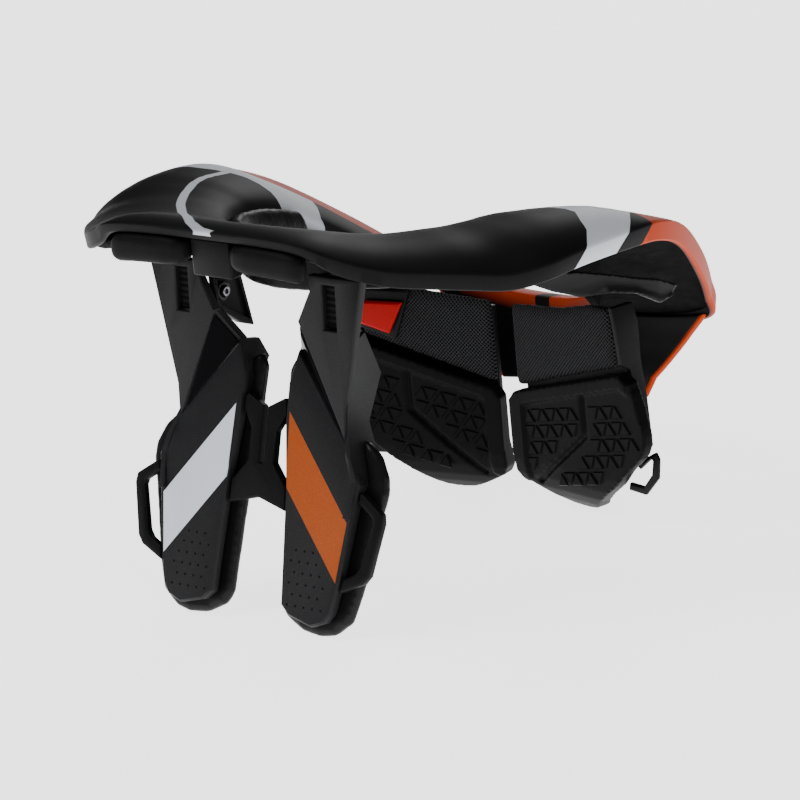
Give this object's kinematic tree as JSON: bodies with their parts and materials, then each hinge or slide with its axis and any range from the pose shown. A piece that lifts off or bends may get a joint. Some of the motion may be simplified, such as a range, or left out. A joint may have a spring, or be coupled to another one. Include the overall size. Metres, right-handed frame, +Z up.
{
  "type": "motocross neck brace",
  "caption": "Rigid ring collar with a neck opening, chest legs with padded feet and strap loops, and two padded back panels.",
  "frame": {"origin": "on the table, under the middle of the brace's box", "axes": "+X to the wearer's left, -Y to the wearer's front, +Z up as the brace stands on its four lower pads"},
  "size_m": [0.29, 0.2846, 0.1951],
  "materials": {
    "shell": "matte",
    "liner": "coated",
    "plate": "satin",
    "window": "gloss",
    "pad": "satin",
    "mesh": "woven",
    "steel": "brushed",
    "clip": "gloss"
  },
  "bodies": {
    "root": {"collar_shell": "shell", "neck_liner": "liner", "chest_leg_left": "plate", "chest_leg_right": "plate", "leg_window_left": "window", "leg_window_right": "window", "chest_pad_left": "pad", "chest_pad_right": "pad", "chest_loop_left": "plate", "chest_loop_right": "plate", "centre_link": "plate", "leg_bracket_left": "plate", "leg_bracket_right": "plate", "bolt_washer_left": "steel", "bolt_washer_right": "steel", "bolt_left": "steel", "bolt_right": "steel", "mesh_panel_left": "mesh", "mesh_panel_right": "mesh", "rear_pad_left": "pad", "rear_pad_right": "pad", "rear_strut_left": "plate", "rear_strut_right": "plate", "rear_loop_left": "plate", "rear_loop_right": "plate", "clip_base_right": "plate", "release_clip_right": "clip", "shoulder_pad_left": "pad", "shoulder_pad_right": "pad", "front_pad_left": "pad", "front_pad_right": "pad", "under_tray": "shell", "front_bridge": "shell"}
  },
  "joints": []
}
